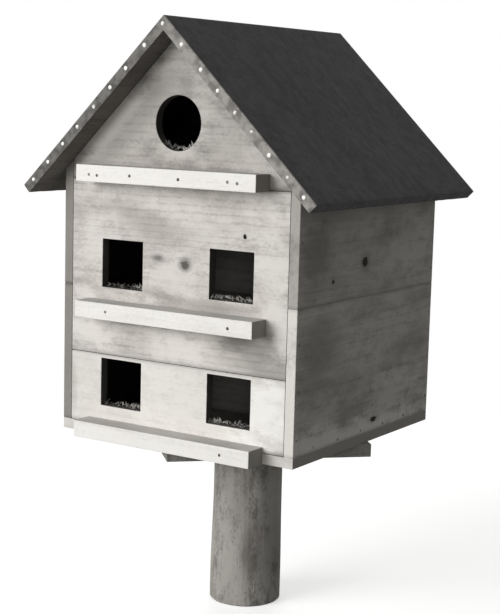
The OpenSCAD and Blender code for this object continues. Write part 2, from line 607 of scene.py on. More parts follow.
@dataclass(frozen=True)
class FeltFinish:
    """Dark roofing felt with a gritty face, greyed where it is turned down over the gable ends."""

    slot: str
    face: Colour = (0.050, 0.050, 0.052)
    worn: Colour = (0.108, 0.106, 0.104)
    grain: Colour = (0.26, 0.256, 0.248)
    lap: Colour = (0.33, 0.317, 0.295)
    lap_dark: Colour = (0.17, 0.162, 0.151)
    # The laps on the left half of the roof are darker: their colour is multiplied by this, blended over this
    # distance either side of the middle.
    left_lap_darkening: Colour = (0.55, 0.55, 0.55)
    left_lap_blend: float = 25 * MM
    grit: Layer = Layer((900.0, 900.0, 900.0), 2.0, 0.6)
    cloud: Layer = Layer((14.0, 17.0, 14.0), 4.0, 0.55)
    runs: Layer = Layer((4.0, 110.0, 4.0), 4.0, 0.6)
    mottle: Layer = Layer((75.0, 75.0, 75.0), 4.0, 0.6)
    lap_mottle: Layer = Layer((90.0, 90.0, 90.0), 3.0)
    wear_shares: tuple[float, float, float] = (0.4, 0.22, 0.38)
    wear_band: Band = (0.36, 0.64)
    grit_band: Band = (0.56, 0.72)
    grit_share: float = 0.6
    lap_band: Band = (0.38, 0.66)
    roughness: float = 0.88
    rough_spread: float = 0.2
    relief: float = 0.5 * MM
    relief_shares: tuple[float, float] = (0.5, 0.5)
    specular: float = 0.15

    def material(self, name: str, half_length: float, lap_depths: Band) -> bpy.types.Material:
        """Builds the felt.

        Args:
            name: Name of the material.
            half_length: Half the length of the roof along the ridge.
            lap_depths: How far in from the gable end the greyed lap begins, and where it is full.

        Returns:
            The material.
        """
        material, graph = new_material(name)
        place = graph.place()
        x, y, _ = place
        layers = (self.grit, self.cloud, self.runs, self.mottle, self.lap_mottle)
        grit, cloud, runs, mottle, lap_mottle = (graph.noise(place, layer) for layer in layers)
        shares = self.wear_shares
        wear = graph.step(cloud * shares[0] + runs * shares[1] + mottle * shares[2], *self.wear_band)
        colour = graph.mix(wear, self.face, self.worn)
        colour = graph.mix(graph.step(grit, *self.grit_band) * self.grit_share, colour, self.grain)
        lap_colour = graph.mix(graph.step(lap_mottle, *self.lap_band), self.lap, self.lap_dark)
        left_lap = graph.step(x, self.left_lap_blend, -self.left_lap_blend)
        lap_colour = graph.mix(left_lap, lap_colour, self.left_lap_darkening, "MULTIPLY")
        lap = graph.step(abs(y), *(half_length - depth for depth in lap_depths))
        colour = graph.mix(lap, colour, lap_colour)
        rough = self.roughness + (cloud - NOISE_MEAN) * self.rough_spread
        height = grit * self.relief_shares[0] + cloud * self.relief_shares[1]
        graph.surface(colour, rough, height, self.relief, self.specular)
        return material


@dataclass(frozen=True)
class BitFinish:
    """A nail's metal or a splinter's wood: its clean and its dulled colours."""

    slot: str
    clean: Colour
    dull: Colour
    metallic: float
    roughness: float
    dull_band: Band = (0.42, 0.64)
    patches: Layer = Layer((420.0, 420.0, 420.0), 3.0)
    pieces: Layer = Layer((31.0, 31.0, 31.0), 0.0)
    patch_share: float = 0.3
    relief: float = 0.1 * MM

    def material(self, name: str) -> bpy.types.Material:
        """Builds the finish.

        Args:
            name: Name of the material.

        Returns:
            The material.
        """
        material, graph = new_material(name)
        place = graph.place()
        patch = graph.noise(place, self.patches)
        uneven = (patch - NOISE_MEAN) * self.patch_share
        dulled = graph.step(graph.noise(place, self.pieces) + uneven, *self.dull_band)
        colour = graph.mix(dulled, self.clean, self.dull)
        graph.surface(colour, self.roughness + uneven, patch, self.relief, metallic=self.metallic)
        return material


WALL_PINE = WoodFinish("weathered_pine", pale=(0.61, 0.584, 0.545), dark=(0.275, 0.258, 0.233), edge_dirt=0.4)
GABLE_PINE = WoodFinish(
    "weathered_pine", pale=(0.41, 0.391, 0.362), dark=(0.185, 0.173, 0.156), bleach_and_painted_light=(0.56, 0.538, 0.502)
)
# The floors: the dark tone of their end faces partly paints the shade on the floor board's ends.
FLOOR_PINE = WoodFinish(
    "weathered_pine", pale=(0.74, 0.715, 0.672), dark=(0.48, 0.456, 0.418), edge_dirt=0.1,
    end_grain_and_painted_light_tone=(0.26, 0.245, 0.225), end_grain_and_painted_light_share=0.9,
)
# The side walls: the pale tone of their end faces paints light on their front ends, which face the lamps.
LEFT_PINE = WoodFinish(
    "weathered_pine", pale=(0.30, 0.285, 0.262), dark=(0.13, 0.121, 0.109), ring_strength=0.18,
    end_grain_and_painted_light_tone=(0.255, 0.242, 0.222), end_grain_and_painted_light_share=0.75,
)
RIGHT_UPPER_PINE = WoodFinish(
    "weathered_pine", pale=(0.43, 0.410, 0.380), dark=(0.165, 0.154, 0.140), ring_strength=0.16,
    end_grain_and_painted_light_tone=(0.40, 0.381, 0.352), end_grain_and_painted_light_share=0.85, edge_dirt=0.3,
)
RIGHT_LOWER_PINE = WoodFinish(
    "weathered_pine", pale=(0.48, 0.458, 0.424), dark=(0.18, 0.168, 0.153), ring_strength=0.16,
    end_grain_and_painted_light_tone=(0.74, 0.714, 0.672), end_grain_and_painted_light_share=0.88, edge_dirt=0.25,
)
LOWER_PINE = WoodFinish(
    "pale_pine", pale=(0.75, 0.727, 0.686), dark=(0.54, 0.515, 0.473), bleach_and_painted_light=(0.90, 0.885, 0.85),
    blotch_strength=0.35, ring_strength=0.16, edge_dirt=0.4,
)
# The ledges: the dark tone of their end faces paints the shade on the ends, and painted shade darkens their
# tops.
LEDGE_PINE = WoodFinish(
    "ledge_pine", pale=(0.83, 0.811, 0.773), dark=(0.62, 0.598, 0.558),
    blotch_strength=0.2, ring_strength=0.14, edge_dirt=0.0, end_grain_and_painted_light_tone=(0.24, 0.227, 0.208), end_grain_and_painted_light_share=0.9,
    painted_top_shade=0.4, mottle_strength=0.4,
)
# The roof boards: their dark tone partly paints the shade on the soffits under the eaves.
ROOF_PINE = WoodFinish("weathered_pine", pale=(0.20, 0.188, 0.172), dark=(0.090, 0.083, 0.075))
# The stand: its dark tone partly paints the shade under the house.
STAND_PINE = WoodFinish("weathered_pine", pale=(0.34, 0.323, 0.297), dark=(0.14, 0.131, 0.118), end_grain_and_painted_light_share=0.2)
POLE_WOOD = WoodFinish(
    "pole_wood", pale=(0.39, 0.371, 0.342), dark=(0.145, 0.136, 0.124), ring_spacing=23 * MM,
    ring_strength=0.2, streak_strength=1.1, blotch_strength=0.7, edge_dirt=0.0, relief=0.8 * MM,
    mottle_strength=1.8, speckle_strength=1.5,
)
FELT = FeltFinish("roofing_felt")
BRIGHT_NAIL = BitFinish(
    "roofing_felt", clean=(0.86, 0.85, 0.82), dull=(0.30, 0.29, 0.27),
    metallic=0.1, roughness=0.45, dull_band=(0.5, 0.74),
)
TORN_FIBRE = BitFinish(
    "weathered_pine", clean=(0.62, 0.597, 0.555), dull=(0.16, 0.152, 0.14), metallic=0.0, roughness=0.9
)
DARK_NAIL = BitFinish(
    "weathered_pine", clean=(0.060, 0.052, 0.046), dull=(0.19, 0.18, 0.165), metallic=0.3, roughness=0.6
)

# The marks on the walls, at millimetres along each wall and above the underside of the house: knots, stained
# and bleached patches, and some patches of painted light and painted shade.
WALL_MARKS: dict[str, Marks] = {
    "front_lower_board": (
        StainOrPaintedLight(128, 62, 44, 60, -0.75), StainOrPaintedLight(152, 13, 14, 9, 0.6), StainOrPaintedLight(-152, 60, 10, 45, 0.25),
    ),
    "front_middle_board": (
        Knot(-25.5, 223, 2.6, 0.3, 2.0, 0.5), Knot(13.4, 218, 4.6, 0.5, 1.1, 0.8),
        Knot(95.2, 256.5, 2.9, 1.0, 0.8, 0.2),
        # Under the middle ledge the pale patches at -128 and 6 are partly painted light over the ledge's
        # shadow; the dark patches at -62 and 118 darken the board below it.
        StainOrPaintedLight(-128, 126, 50, 34, -0.9), StainOrPaintedLight(6, 122, 46, 30, -0.9), StainOrPaintedLight(-62, 116, 30, 22, 0.12),
        # The small dark patch at 131 is painted shadow beside the middle ledge's end.
        StainOrPaintedLight(118, 124, 58, 34, 0.5, 0.9), StainOrPaintedLight(131, 150, 9, 14, 0.55), StainOrPaintedLight(-118, 250, 30, 40, -0.5),
        StainOrPaintedLight(20, 262, 70, 30, -0.3), StainOrPaintedLight(138, 215, 34, 80, -0.75), StainOrPaintedLight(-6, 200, 44, 26, -0.4),
        StainOrPaintedLight(82, 136, 28, 16, 0.5), StainOrPaintedLight(62, 171, 62, 9, 0.3), StainOrPaintedLight(-36, 174, 30, 12, -0.5),
        # The pale bands at -70 and 84 paint light over the top ledge's shadow.
        StainOrPaintedLight(-136, 174, 20, 12, -0.6), StainOrPaintedLight(-70, 302, 60, 18, -0.35), StainOrPaintedLight(84, 302, 62, 18, -0.4),
        # The pale patch at 152 paints light over the middle ledge's shadow beside its end.
        StainOrPaintedLight(136, 174, 22, 12, -0.5), StainOrPaintedLight(152, 152, 12, 30, -0.7),
    ),
    "front_gable_board": (
        # The pale patch at -92 paints light over the roof's shadow beside the left soffit, and the one at 143
        # paints light over the shadow of the roof and the top ledge beside the ledge's end.
        StainOrPaintedLight(0, 462, 30, 26, -0.4), StainOrPaintedLight(-92, 384, 24, 66, -0.9, -1.0), StainOrPaintedLight(143, 326, 24, 18, -0.8),
        StainOrPaintedLight(70, 350, 40, 22, -0.25), StainOrPaintedLight(38, 415, 26, 36, -0.65), StainOrPaintedLight(-8, 350, 48, 26, -0.85),
        # The pale patch at 112 paints light on the shaded right part, and the dark band at -56 paints shade
        # along the left soffit.
        StainOrPaintedLight(112, 338, 30, 20, -0.6), StainOrPaintedLight(-56, 384, 20, 64, 0.24, -1.0),
    ),
    "back_lower_board": (Knot(20, 52, 4.0, 0.6),),
    "back_middle_board": (
        Knot(-8, 238, 5.0, 0.6), Knot(128, 196, 3.2, 0.8),
        StainOrPaintedLight(70, 118, 50, 18, 0.5), StainOrPaintedLight(-90, 124, 50, 22, -0.6),
    ),
    "back_gable_board": (Knot(-58, 352, 3.4, 0.6),),
    "right_side_lower_board": (
        Knot(20.2, 26.3, 3.0, 1.0, 2.6, 0.4),
        # The pale band along the bottom, at 18 above the underside, paints the light thrown up from the
        # ground.
        StainOrPaintedLight(-120, 130, 50, 40, 0.5), StainOrPaintedLight(60, 50, 90, 40, -0.3), StainOrPaintedLight(0, 18, 260, 20, -0.75),
    ),
    "right_side_upper_board": (
        Knot(-15.7, 222.5, 5.8, 1.0, 1.2, 0.5), Knot(-90, 205, 2.4, 0.9, 1.3, 0.3),
        StainOrPaintedLight(-128, 240, 40, 46, 0.6), StainOrPaintedLight(60, 300, 90, 16, 0.2),
        StainOrPaintedLight(95, 250, 80, 60, -0.18), StainOrPaintedLight(-100, 290, 60, 26, 0.3),
    ),
    "left_side_lower_board": (Knot(-70, 110, 4.4, 0.8),),
    "left_side_upper_board": (Knot(64, 262, 3.6, 0.8),),
}


def keep(piece: bpy.types.Object, slot: str, *nodes: str) -> None:
    """Fixes a finished piece to the house and hides the nodes that it stands for.

    Args:
        piece: The finished piece.
        slot: The record's material slot; not used.
        nodes: The nodes that it replaces, if any.
    """
    if nodes:
        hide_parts(*nodes)
    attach(piece, BODY)
    LOG.info("%s: %d faces", piece.name, len(piece.data.polygons))


def mesh_object(name: str, mesh: bpy.types.Mesh, material: bpy.types.Material) -> bpy.types.Object:
    """Puts a mesh in the scene.

    Args:
        name: Name of the piece.
        mesh: Its mesh, in the part's frame.
        material: Its only material.

    Returns:
        The new object.
    """
    mesh.materials.clear()
    mesh.materials.append(material)
    piece = bpy.data.objects.new(name, mesh)
    bpy.context.scene.collection.objects.link(piece)
    return piece


def cad_shape(node: str) -> bmesh.types.BMesh:
    """Copies a node's solid, without the lines inside its flat faces.

    Args:
        node: The node.

    Returns:
        The plain shape.
    """
    shape = bmesh.new()
    shape.from_mesh(frame["nodes"][node].data)
    bmesh.ops.remove_doubles(shape, verts=shape.verts[:], dist=MERGE)
    bmesh.ops.dissolve_limit(shape, angle_limit=FLAT_ANGLE, verts=shape.verts[:], edges=shape.edges[:])
    return shape


def round_off(shape: bmesh.types.BMesh, edges: list[bmesh.types.BMEdge], width: float, steps: int) -> None:
    """Rounds edges off.

    Args:
        shape: The shape that they belong to.
        edges: The edges.
        width: How far from the edge the rounding starts.
        steps: How many faces it has.
    """
    bmesh.ops.bevel(
        shape, geom=edges, offset=width, offset_type="OFFSET", segments=steps,
        profile=0.5, affect="EDGES", clamp_overlap=True,
    )


def finished_mesh(shape: bmesh.types.BMesh, name: str, smooth_angle: float) -> bpy.types.Mesh:
    """Turns a shape into a mesh that is shaded smooth.

    Args:
        shape: The shape, which is used up.
        name: Name of the mesh.
        smooth_angle: Edges that turn by more stay sharp.

    Returns:
        The mesh.
    """
    bmesh.ops.triangulate(shape, faces=[face for face in shape.faces if len(face.verts) > 4])
    mesh = bpy.data.meshes.new(name)
    shape.to_mesh(mesh)
    shape.free()
    mesh.shade_smooth()
    mesh.set_sharp_from_angle(angle=smooth_angle)
    return mesh


@dataclass
class Plank:
    """One sawn board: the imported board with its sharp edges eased, and its own wood."""

    node: str
    finish: WoodFinish
    grain: Grain
    seed: int
    ease: float = 0.8 * MM
    ease_steps: int = 2
    sharp_angle: float = math.radians(30)
    smooth_angle: float = math.radians(15)

    def shape(self) -> bpy.types.Mesh:
        """Copies the board's solid and eases its edges.

        Returns:
            The eased mesh.
        """
        shape = cad_shape(self.node)
        sharp = [
            edge for edge in shape.edges
            if len(edge.link_faces) == 2 and edge.calc_face_angle() > self.sharp_angle
        ]
        round_off(shape, sharp, self.ease, self.ease_steps)
        return finished_mesh(shape, self.node + "_wood", self.smooth_angle)

    def build(self, mark_base: float, inside: Inside | None) -> None:
        """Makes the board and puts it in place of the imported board.

        Args:
            mark_base: Height of the underside of the house.
            inside: The rooms, for the faces that lie in them.
        """
        cut = Cut(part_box(self.node), self.grain, self.seed, mark_base)
        material = self.finish.material(self.node + "_finish", cut, WALL_MARKS.get(self.node, ()), inside)
        piece = mesh_object(self.node + "_wood", self.shape(), material)
        keep(piece, self.finish.slot, self.node)


@dataclass
class House:
    """The boards of the house, in groups of one grain. The seeds of a group count up from its first."""

    face_depth: float = 1.2 * MM
    front_seed: int = 11
    back_seed: int = 21
    side_seed: int = 31
    floor_seed: int = 41
    inner_wall_seed: int = 51
    ledge_seed: int = 61
    roof_seed: int = 71
    stand_seed: int = 81

    def walls(self) -> list[Plank]:
        """The boards of the four walls.

        Returns:
            The planks.
        """
        rows = (("lower", LOWER_PINE), ("middle", WALL_PINE), ("gable", GABLE_PINE))
        ends = [
            Plank(f"{end}_{row}_board", finish, Grain.ACROSS_FRONT, seed + i)
            for end, seed in (("front", self.front_seed), ("back", self.back_seed))
            for i, (row, finish) in enumerate(rows)
        ]
        side_rows = (
            ("right_side_lower_board", RIGHT_LOWER_PINE), ("right_side_upper_board", RIGHT_UPPER_PINE),
            ("left_side_lower_board", LEFT_PINE), ("left_side_upper_board", LEFT_PINE),
        )
        sides = [
            Plank(node, finish, Grain.ALONG_SIDE, self.side_seed + i)
            for i, (node, finish) in enumerate(side_rows)
        ]
        return ends + sides

    def inner(self) -> list[Plank]:
        """The floors and the walls between the rooms.

        Returns:
            The planks.
        """
        floors = [
            Plank(node, FLOOR_PINE, Grain.FLAT, self.floor_seed + i)
            for i, node in enumerate(("floor_board", "upper_floor", "attic_floor"))
        ]
        walls = [
            Plank(f"{storey}_inner_wall", WALL_PINE, Grain.ACROSS_FRONT, self.inner_wall_seed + i)
            for i, storey in enumerate(("lower", "upper", "attic"))
        ]
        return floors + walls

    def roof_boards(self) -> list[Plank]:
        """The boards under the felt."""
        nodes = [f"{side}_roof_{row}_board" for side in ("left", "right") for row in ("upper", "lower")]
        return [Plank(node, ROOF_PINE, Grain.DOWN_ROOF, self.roof_seed + i) for i, node in enumerate(nodes)]

    def outer(self) -> list[Plank]:
        """The landing ledges of both ends, and the board that the house stands on.

        Returns:
            The planks.
        """
        nodes = [f"{end}_{row}_ledge" for end in ("front", "back") for row in ("lower", "middle", "top")]
        ledges = [
            Plank(node, LEDGE_PINE, Grain.ACROSS_FRONT, self.ledge_seed + i) for i, node in enumerate(nodes)
        ]
        return ledges + [Plank("support_board", STAND_PINE, Grain.FLAT, self.stand_seed)]

    def build(self) -> None:
        """Makes every board of the house."""
        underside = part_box("floor_board")[0][2]
        wall_face = -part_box("front_middle_board")[0][1]
        inside = Inside(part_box("upper_floor")[1][0], wall_face - self.face_depth)
        for plank in self.walls() + self.inner() + self.roof_boards():
            plank.build(underside, inside)
        for plank in self.outer():
            plank.build(underside, None)


@dataclass
class FeltSheet:
    """The felt over both slopes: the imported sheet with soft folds, an uneven lie and rough lower edges."""

    fold: float = 1.2 * MM
    fold_steps: int = 3
    fold_angle: float = math.radians(30)
    under_facing: float = -0.95
    swell: float = 1.1 * MM
    swell_scale: float = 9.0
    swell_level: float = 0.35
    free_width: float = 60 * MM
    ragged: float = 0.8 * MM
    ragged_scale: float = 55.0
    lap_depths: Band = (2.4 * MM, 0.8 * MM)
    cell: float = 7 * MM
    smooth_angle: float = math.radians(35)

    def __post_init__(self) -> None:
        """Reads the roof's size off the frame."""
        self.half_w, self.half_l, self.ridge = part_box("roof_felt")[1]

    def depth(self, spot: Vector) -> float:
        """How far a point lies under the outer face of its slope."""
        drop = self.ridge - abs(spot.x) * math.tan(ROOF_PITCH) - spot.z
        return drop * math.cos(ROOF_PITCH)

    def outward(self, spot: Vector) -> Vector:
        """The way out of the slope that a point belongs to."""
        return Vector((math.copysign(math.sin(ROOF_PITCH), spot.x), 0.0, math.cos(ROOF_PITCH)))

    def outer_folds(self, shape: bmesh.types.BMesh) -> list[bmesh.types.BMEdge]:
        """Finds the ridge, the eaves and the gable edges of the outer face.

        Args:
            shape: The plain sheet.

        Returns:
            Its outer edges.
        """
        def under(face: bmesh.types.BMFace) -> bool:
            """True for the faces that look down at the boards."""
            return face.normal.dot(self.outward(face.calc_center_median())) < self.under_facing

        return [
            edge for edge in shape.edges
            if edge.is_convex and edge.calc_face_angle() > self.fold_angle
            and not any(under(face) for face in edge.link_faces)
            and max(self.depth(vert.co) for vert in edge.verts) < self.fold
        ]

    def cut(self, shape: bmesh.types.BMesh) -> None:
        """Cuts the sheet into cells that are small enough to lie unevenly.

        Args:
            shape: The folded sheet.
        """
        for way, half in ((Vector((1.0, 0.0, 0.0)), self.half_w), (Vector((0.0, 1.0, 0.0)), self.half_l)):
            count = int(half / self.cell)
            for i in range(-count, count + 1):
                geometry = shape.verts[:] + shape.edges[:] + shape.faces[:]
                middle = way * ((i + 0.5) * self.cell)
                bmesh.ops.bisect_plane(shape, geom=geometry, plane_co=middle, plane_no=way, dist=MERGE)

    def lay(self, shape: bmesh.types.BMesh) -> None:
        """Lets the slopes swell a little and roughens the lower edges of the laps.

        Args:
            shape: The sheet in cells.
        """
        deepest = max(self.depth(vert.co) for vert in shape.verts)
        for vert in shape.verts:
            spot = vert.co.copy()
            depth = self.depth(spot)
            out = self.outward(spot)
            if abs(depth) < MERGE:
                along = (self.half_w - abs(spot.x), abs(spot.x), self.half_l - abs(spot.y))
                freedom = min(max(min(along) / self.free_width, 0.0), 1.0) ** 0.5
                rise = max(noise.noise(spot * self.swell_scale) + self.swell_level, 0.0)
                vert.co = spot + out * (self.swell * freedom * rise)
            elif depth > deepest - MERGE:
                vert.co = spot + out * (self.ragged * abs(noise.noise(spot * self.ragged_scale)))

    def build(self) -> None:
        """Folds, cuts and lays the felt, and puts it in place of the plain sheet."""
        shape = cad_shape("roof_felt")
        round_off(shape, self.outer_folds(shape), self.fold, self.fold_steps)
        self.cut(shape)
        self.lay(shape)
        mesh = finished_mesh(shape, "roof_felt_sheet", self.smooth_angle)
        material = FELT.material("roof_felt_finish", self.half_l, self.lap_depths)
        piece = mesh_object("roof_felt_sheet", mesh, material)
        keep(piece, FELT.slot, "roof_felt")


@dataclass
class RoundPole:
    """The pole: a tapered round of old wood with lumps and drying cracks.

    A crack is its direction, as a share of a full turn, and its two ends, as shares of the length. The
    stained patches and the patches of painted light and painted shadow are at millimetres above the foot and
    from the middle.
    """

    sides: int = 120
    rings: int = 60
    lump: float = 0.9 * MM
    lump_round: float = 1.6
    lump_rise: float = 2.4
    lump_level: float = 0.6
    cracks: tuple[tuple[float, float, float], ...] = ((0.12, 0.3, 1.0), (0.35, 0.15, 0.85), (0.55, 0.0, 0.55))
    crack_depth: float = 2.6 * MM
    crack_share: float = 0.006
    crack_fade: float = 0.1
    wander: float = 0.008
    wander_scales: tuple[float, float, float] = (40, 6, 1.3)
    foot_ease: float = 1.5 * MM
    top_reach: float = 1.0 * MM
    smooth_angle: float = math.radians(40)
    seed: int = 91
    stains_and_painted_light: Marks = (
        # The dark band at 205 paints the house's shadow on the pole's top, and the pale strip at 120 paints
        # light on its shaded right side.
        StainOrPaintedLight(75, 34, 42, 16, 0.75), StainOrPaintedLight(205, 10, 22, 60, 0.5), StainOrPaintedLight(120, 44, 130, 16, -0.34)
    )

    def __post_init__(self) -> None:
        """Reads the pole's length and diameters off the frame."""
        low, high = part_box("pole")
        self.length = high[2] - low[2]
        self.foot_r = high[0]
        rim = [v.co for v in frame["nodes"]["pole"].data.vertices if v.co.z > high[2] - self.top_reach]
        self.top_r = max(math.hypot(spot.x, spot.y) for spot in rim)

    def radius(self, turn: float, height: float) -> float:
        """The pole's radius in one direction.

        Args:
            turn: Direction, as a share of a full turn.
            height: Height, as a share of the length.

        Returns:
            The radius.
        """
        plain = self.foot_r + (self.top_r - self.foot_r) * height
        angle = FULL_TURN * turn
        round_x, round_y = math.cos(angle) * self.lump_round, math.sin(angle) * self.lump_round
        where = Vector((round_x, round_y, height * self.lump_rise))
        bump = self.lump * (noise.noise(where) - self.lump_level)
        for middle, start, stop in self.cracks:
            across, up, place = self.wander_scales
            wander = middle + self.wander * noise.noise(Vector((middle * across, height * up, place)))
            off = abs(turn - wander) / self.crack_share
            fade = max(min((height - start) / self.crack_fade, (stop - height) / self.crack_fade, 1.0), 0.0)
            bump -= self.crack_depth * fade * max(1.0 - off, 0.0)
        return plain + bump

    def shape(self) -> bpy.types.Mesh:
        """Lofts the pole and closes its ends.

        Returns:
            The pole's mesh.
        """
        verts: list[tuple[float, float, float]] = []
        levels = [0.0] + [i / self.rings for i in range(self.rings + 1)]
        for row, height in enumerate(levels):
            for i in range(self.sides):
                turn = i / self.sides
                r = self.radius(turn, height) - (self.foot_ease if row == 0 else 0.0)
                z = height * self.length + (self.foot_ease if row == 1 else 0.0)
                verts.append((r * math.cos(FULL_TURN * turn), r * math.sin(FULL_TURN * turn), z))
        faces: list[tuple[int, ...]] = []
        for row in range(len(levels) - 1):
            for i in range(self.sides):
                j = (i + 1) % self.sides
                a, b = row * self.sides, (row + 1) * self.sides
                faces.append((a + i, a + j, b + j, b + i))
        top = (len(levels) - 1) * self.sides
        faces.append(tuple(reversed(range(self.sides))))
        faces.append(tuple(range(top, top + self.sides)))
        mesh = bpy.data.meshes.new("pole_round")
        mesh.from_pydata(verts, [], faces)
        mesh.shade_smooth()
        mesh.set_sharp_from_angle(angle=self.smooth_angle)
        return mesh

    def build(self) -> None:
        """Makes the pole and puts it in place of the plain one."""
        cut = Cut(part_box("pole"), Grain.UP_POLE, self.seed)
        material = POLE_WOOD.material("pole_finish", cut, self.stains_and_painted_light)
        piece = mesh_object("pole_round", self.shape(), material)
        keep(piece, POLE_WOOD.slot, "pole")


class Bit(Enum):
    """The small things that are repeated: domed nail heads, and splinters on the sawn sills."""

    NAIL = "nail_heads"
    SPLINTER = "sill_splinters"


class BitTree:
    """Geometry Nodes that set a nail head or a splinter on every vertex, along its facing attribute."""

    INPUTS = {
        "Width": "NodeSocketFloat", "Rise": "NodeSocketFloat", "Size Spread": "NodeSocketFloat",
        "Seed": "NodeSocketInt", "Material": "NodeSocketMaterial",
    }
    UNITS = {
        Bit.NAIL: ("GeometryNodeMeshUVSphere", {"Segments": 14, "Rings": 8, "Radius": 0.5}),
        Bit.SPLINTER: (
            "GeometryNodeMeshCone", {"Vertices": 5, "Radius Top": 0.08, "Radius Bottom": 0.5, "Depth": 1.0}
        ),
    }

    def __init__(self, bit: Bit) -> None:
        """Builds the tree and its named inputs.

        Args:
            bit: What is set on the vertices.
        """
        self.group = bpy.data.node_groups.new(bit.value, "GeometryNodeTree")
        face = self.group.interface
        face.new_socket("Geometry", in_out="INPUT", socket_type="NodeSocketGeometry")
        for name, kind in self.INPUTS.items():
            face.new_socket(name, in_out="INPUT", socket_type=kind)
        face.new_socket("Geometry", in_out="OUTPUT", socket_type="NodeSocketGeometry")
        graph = NodeGraph(self.group)
        given = {name: graph.add("NodeGroupInput", output=name) for name in ("Geometry", *self.INPUTS)}
        kind, sizes = self.UNITS[bit]
        unit = graph.add(kind, inputs=sizes)
        size = graph.vector(given["Width"], given["Width"], given["Rise"])
        head = graph.add("GeometryNodeTransform", inputs={"Geometry": unit, "Scale": size})
        vectors = {"data_type": "FLOAT_VECTOR"}
        facing = graph.add("GeometryNodeInputNamedAttribute", vectors, {"Name": "facing"})
        turn = graph.add("FunctionNodeAlignRotationToVector", {"axis": "Z"}, {"Vector": facing})
        spread = given["Size Spread"]
        limits = {2: 1.0 - spread, 3: 1.0 + spread, 8: given["Seed"]}
        scale = graph.add("FunctionNodeRandomValue", {"data_type": "FLOAT"}, limits, output=1)
        heads = graph.add(
            "GeometryNodeInstanceOnPoints",
            inputs={"Points": given["Geometry"], "Instance": head, "Rotation": turn, "Scale": scale},
        )
        solid = graph.add("GeometryNodeRealizeInstances", inputs={"Geometry": heads})
        smooth = graph.add("GeometryNodeSetShadeSmooth", inputs={0: solid})
        dressing = {"Geometry": smooth, "Material": given["Material"]}
        dressed = graph.add("GeometryNodeSetMaterial", inputs=dressing)
        graph.add("NodeGroupOutput", inputs={"Geometry": dressed})

    def identifier(self, name: str) -> str:
        """The identifier of a named input."""
        sockets = self.group.interface.items_tree
        return next(s.identifier for s in sockets if s.name == name and s.in_out == "INPUT")


@dataclass
class BitSet:
    """Like bits: where they stand, which way they face, and their size."""

    name: str
    spots: Spots
    material: bpy.types.Material
    slot: str
    size: tuple[float, float]
    seed: int
    spread: float = 0.08

    def build(self, tree: BitTree) -> None:
        """Sets the bits and turns them into a plain mesh.

        Args:
            tree: The node tree of this kind of bit.
        """
        mesh = bpy.data.meshes.new(self.name)
        mesh.from_pydata([spot for spot, _ in self.spots], [], [])
        facing = mesh.attributes.new("facing", "FLOAT_VECTOR", "POINT")
        for item, (_, direction) in zip(facing.data, self.spots):
            item.vector = direction
        piece = mesh_object(self.name, mesh, self.material)
        modifier = piece.modifiers.new("bits", "NODES")
        modifier.node_group = tree.group
        for name, value in zip(BitTree.INPUTS, (*self.size, self.spread, self.seed, self.material)):
            modifier[tree.identifier(name)] = value
        depsgraph = bpy.context.evaluated_depsgraph_get()
        solid = bpy.data.meshes.new_from_object(piece.evaluated_get(depsgraph))
        piece.modifiers.clear()
        piece.data = solid
        keep(piece, self.slot)


@dataclass
class Sills:
    """Splinters and torn fibres on the sawn sills of the entrances. A size is a width and a rise."""

    spacing: float = 0.9 * MM
    clearance: float = 1.0 * MM
    set_back: float = 2.0 * MM
    hole_r: float = 31.75 * MM
    hole_arc: float = 0.7
    size: tuple[float, float] = (0.8 * MM, 5.0 * MM)
    size_spread: float = 0.55
    lean: float = 1.9
    heap: float = 3.0 * MM
    place_seed: int = 17
    size_seed: int = 4

    def spots(self) -> Spots:
        """Scatters the splinters along the sills of the record's entrances.

        Returns:
            Places and facings.
        """
        draw = random.Random(self.place_seed)
        outer = -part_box("front_middle_board")[0][1] - self.set_back
        inner = -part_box("front_middle_board")[1][1]
        spots = []
        for opening in frame["record"]["physics"]["openings"]:
            if not opening["name"].endswith("entrance"):
                continue
            low, high = opening["box_m"]
            way = 1 if low[1] + high[1] > 0 else -1
            middle = ((low[0] + high[0]) / 2, (low[2] + high[2]) / 2)
            is_round = "gable" in opening["name"]
            reach = self.hole_r * self.hole_arc if is_round else (high[0] - low[0]) / 2
            for _ in range(int(2 * reach / self.spacing)):
                off = draw.uniform(-reach, reach)
                sill = low[2] - self.clearance
                if is_round:
                    sill = middle[1] - math.sqrt(self.hole_r ** 2 - off ** 2)
                spot = (middle[0] + off, way * draw.uniform(inner, outer), sill + draw.uniform(0, self.heap))
                spots.append((Vector(spot), self.tilt(draw)))
        return spots

    def tilt(self, draw: random.Random) -> Vector:
        """Draws the way that a splinter stands."""
        x, y = (draw.uniform(-self.lean, self.lean) for _ in range(2))
        return Vector((x, y, 1.0)).normalized()

    def build(self) -> None:
        """Makes the splinters."""
        material = TORN_FIBRE.material("sill_fibre")
        sizes = (self.size, self.size_seed, self.size_spread)
        splinters = BitSet("sill_splinters", self.spots(), material, TORN_FIBRE.slot, *sizes)
        splinters.build(BitTree(Bit.SPLINTER))


